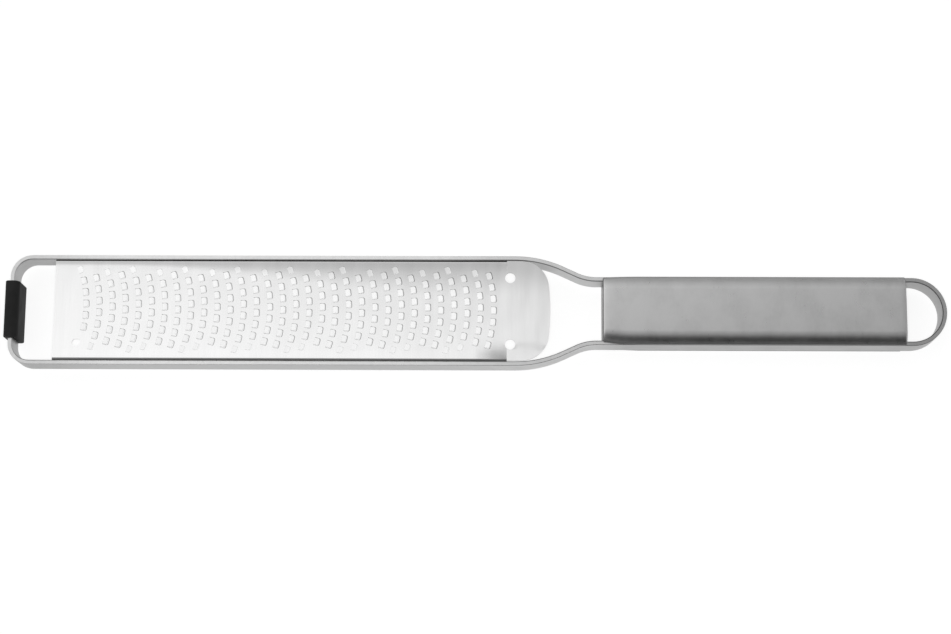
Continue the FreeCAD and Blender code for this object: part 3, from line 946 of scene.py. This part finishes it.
def make_blade_steel():
    """Bright etched sheet: slight waves, cross lines, clouds, painted shade on the far side, in the folds and
    on the cut walls, and rubbed tips painted lighter.
    """
    material, tree, shader, coordinates = new_material("etched_sheet")
    set_metal(shader, grazing=0.9)
    place, level = coordinates["Object"], levelness(tree, coordinates["Normal"])
    along, across, height = (along_axis(tree, place, axis) for axis in "XYZ")
    lines = use(tree, drawn_lines, Place=stretched(tree, place, SHEET_LINES))
    marks = use(tree, handling_marks, Place=place, Scale=SHEET_MARKS)
    tip = use(tree, rim_wear_and_shading, Rim=zone(tree, height, TOOTH_TIP_Z), Place=place)
    tone = blend(tree, lines["Tone"], *SHEET_TONES)
    tone = blend(tree, times(tree, marks["Mask"], SHEET_MARK_SHARE), tone, SHEET_MARK_TONE)
    # The tabs' tips: rubbed, and painted lighter as painted light on the raised tabs
    tone = blend(tree, tip["Mask"], tone, TOOTH_TIP_WEAR_AND_LIGHT_TONE)
    # Painted shade: the upright cut walls of the openings, holes and edges are painted darker
    tone = blend(tree, ease(tree, level, start=0.88, end=0.78), tone, CUT_WALL_SHADE_TONE)

    # Painted shade: darker towards the far fold
    far_shade_width = zone(tree, along, FAR_SHADE_WIDENS, *mm(*FAR_SHADE_WIDTHS))
    far_shade_share = zone(tree, along, FAR_SHADE_FADES, *FAR_SHADE_SHARES)
    from_edge = sum_up(tree, "SUBTRACT", size(FAR_SHADE_EDGE_Y), across)
    far_shade = ease(tree, sum_up(tree, "DIVIDE", from_edge, far_shade_width), start=1.0, end=0.0)
    tone = blend(tree, times(tree, far_shade, far_shade_share), tone, 0.0)

    # Painted shade in the folds, which are also rougher
    from_middle = away(tree, sum_up(tree, "SUBTRACT", across, size(FOLD_MIDDLE_Y)))
    in_fold = times(tree, zone(tree, from_middle, IN_FOLD), zone(tree, along, BEFORE_FOLD_END))
    tone = blend(tree, in_fold, tone, FOLD_SHADE_TONE)
    clean_rough = spread(tree, marks["Mask"], low=0.2, high=0.24)
    paint(tree, shader, tone, sum_up(tree, "ADD", clean_rough, times(tree, in_fold, FOLD_ROUGHER)))

    waves = noise(tree, stretched(tree, place, SHEET_WAVES), scale=150.0, detail=1.0, roughness=0.5)
    bump(tree, shader, waves, strength=1.0, depth=0.1)
    bump(tree, shader, lines["Height"], strength=0.06, depth=0.01)
    return material


def make_shell_steel():
    """Brushed pressings: short lines across the handle, cloudy patches, and turned-down sides painted dark as
    painted shade.
    """
    material, tree, shader, coordinates = new_material("brushed_pressing")
    set_metal(shader, grazing=0.75)
    place, level = coordinates["Object"], levelness(tree, coordinates["Normal"])
    lines = use(tree, drawn_lines, Place=stretched(tree, place, SHELL_LINES))
    marks = use(tree, handling_marks, Place=stretched(tree, place, SHELL_CLOUDS), Scale=SHELL_MARKS)
    side = ease(tree, level, start=0.86, end=0.68)
    rim = use(tree, rim_wear_and_shading, Rim=side, Place=place)
    tone = blend(tree, lines["Tone"], *SHELL_TONES)
    tone = blend(tree, times(tree, marks["Mask"], SHELL_MARK_SHARE), tone, SHELL_MARK_TONE)
    # Painted shade: the turned-down sides are painted dark, broken up along the rim
    tone = blend(tree, side, tone, blend(tree, rim["Mask"], *SHELL_SIDE_SHADE_TONES))
    paint(tree, shader, tone, spread(tree, lines["Tone"], low=0.27, high=0.33))
    bump(tree, shader, lines["Height"], strength=0.03, depth=0.02)
    return material


def make_foot_rubber():
    """Matte moulded rubber: a fine grain, cloudy patches, and rims rubbed a little greyer."""
    material, tree, shader, coordinates = new_material("matte_rubber")
    place = coordinates["Object"]
    marks = use(tree, handling_marks, Place=place, Scale=RUBBER_MARKS)
    to_rim = away(tree, along_axis(tree, place, "Y"))
    rim = use(tree, rim_wear_and_shading, Rim=zone(tree, to_rim, RUBBER_RIM), Place=place)
    tone = blend(tree, marks["Mask"], *RUBBER_TONES)
    tone = blend(tree, rim["Mask"], tone, RUBBER_RIM_TONE)
    paint(tree, shader, tone, spread(tree, marks["Mask"], low=0.64, high=0.72))
    shader.inputs["Specular IOR Level"].default_value = 0.15
    grain = noise(tree, place, scale=2500.0, detail=2.0, roughness=0.5)
    bump(tree, shader, grain, strength=0.2, depth=0.05)
    return material


# Making the studio

def aim(thing):
    """Sets the camera or the lamp at the camera's place over the tool."""
    thing.rotation_mode = "ZYX"
    thing.rotation_euler = CAMERA_TURN
    thing.location = CAMERA_PLACE
    bpy.context.scene.collection.objects.link(thing)


def make_camera():
    camera = bpy.data.objects.new("camera", bpy.data.cameras.new("camera"))
    camera.data.sensor_width = CAMERA_SENSOR
    camera.data.lens = CAMERA_LENS
    camera.data.clip_start = CAMERA_CLIP
    aim(camera)
    bpy.context.scene.camera = camera


def make_floor():
    """A white floor, which the camera and the metal see as evenly lit; the tool's shadow stays on it."""
    bpy.ops.object.select_all(action="DESELECT")
    bpy.ops.mesh.primitive_plane_add(size=FLOOR_SPAN)
    floor = bpy.context.object
    floor.name = "floor"
    material = bpy.data.materials.new("pale_floor")
    material.use_nodes = True
    tree = material.node_tree
    shader = tree.nodes["Principled BSDF"]
    shader.inputs["Base Color"].default_value = (FLOOR_WHITE, FLOOR_WHITE, FLOOR_WHITE, 1)
    shader.inputs["Roughness"].default_value = FLOOR_ROUGHNESS
    shader.inputs["Specular IOR Level"].default_value = 0.0
    glow = add(tree, "Emission", Color=(1, 1, 1, 1), Strength=1.0)
    rays = add(tree, "LightPath").outputs
    mirrored = sum_up(tree, "MAXIMUM", rays["Is Glossy Ray"], rays["Is Transmission Ray"])
    seen = times(tree, rays["Is Camera Ray"], FLOOR_SEEN_SHARE)
    share = sum_up(tree, "MAXIMUM", times(tree, mirrored, FLOOR_MIRRORED_SHARE), seen)
    both = add(tree, "MixShader")
    tree.links.new(share, both.inputs["Fac"])
    tree.links.new(shader.outputs["BSDF"], both.inputs[1])
    tree.links.new(glow.outputs["Emission"], both.inputs[2])
    tree.links.new(both.outputs["Shader"], tree.nodes["Material Output"].inputs["Surface"])
    floor.data.materials.append(material)


def make_lamp():
    """A small soft lamp at the camera's place, so the tool hides its own shadow and the floor stays even."""
    lamp = bpy.data.objects.new("front_lamp", bpy.data.lights.new("front_lamp", "AREA"))
    lamp.data.shape = "DISK"
    lamp.data.size = LAMP_SIZE
    lamp.data.energy = LAMP_WATTS
    lamp.visible_glossy = False
    aim(lamp)


def light_ramp(tree, lean, stops):
    """Brightness of the studio along one direction, from -1 to 1."""
    ramp = add(tree, "ValToRGB")
    tree.links.new(spread(tree, lean, low=0.0, high=1.0, start=-1.0, end=1.0), ramp.inputs["Fac"])
    elements = ramp.color_ramp.elements
    while len(elements) < len(stops):
        elements.new(0.5)
    for element, (position, level) in zip(elements, stops):
        element.position = (position + 1) / 2
        element.color = (level, level, level, 1)
    return ramp.outputs["Color"]


def make_studio():
    """Soft light from above and the front end, weaker towards the loop, with a dark band on the near side."""
    world = bpy.data.worlds.new("studio")
    bpy.context.scene.world = world
    world.use_nodes = True
    tree = world.node_tree
    direction = add(tree, "TexCoord").outputs["Generated"]
    along, across, up = (along_axis(tree, direction, axis) for axis in "XYZ")
    lengthwise = light_ramp(tree, along, LIGHT_ALONG)
    over_handle = light_ramp(tree, across, LIGHT_ACROSS_HANDLE)
    over_front = light_ramp(tree, across, LIGHT_ACROSS_FRONT)
    crosswise = blend(tree, ease(tree, along, start=0.0, end=-0.4), over_handle, over_front)
    crosswise = blend(tree, ease(tree, along, start=0.35, end=0.65), crosswise, LOOP_END_LIGHT)
    low, near = ease(tree, up, start=0.47, end=0.18), ease(tree, across, start=-0.5, end=-0.8)
    crosswise = blend(tree, times(tree, low, near), crosswise, LOW_NEAR_LIGHT)
    light = blend(tree, 1.0, lengthwise, crosswise, "MULTIPLY")
    tree.links.new(light, tree.nodes["Background"].inputs["Color"])


def dress(piece, node, material):
    """Gives a piece its finish and lets it stand for its CAD node."""
    piece.data.materials.clear()
    piece.data.materials.append(material)
    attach(piece, "root")
    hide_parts(node)


def main():
    make_camera()
    make_floor()
    make_lamp()
    make_studio()
    bpy.context.scene.view_settings.view_transform = "Standard"
    shell_steel = make_shell_steel()
    upper = make_upper_shell()
    lower = make_lower_shell(upper)
    dress(make_frame(), "frame", make_frame_steel())
    dress(make_blade(), "blade", make_blade_steel())
    dress(upper, "handle_upper_shell", shell_steel)
    dress(lower, "handle_lower_shell", shell_steel)
    dress(make_foot(), "front_foot", make_foot_rubber())


main()
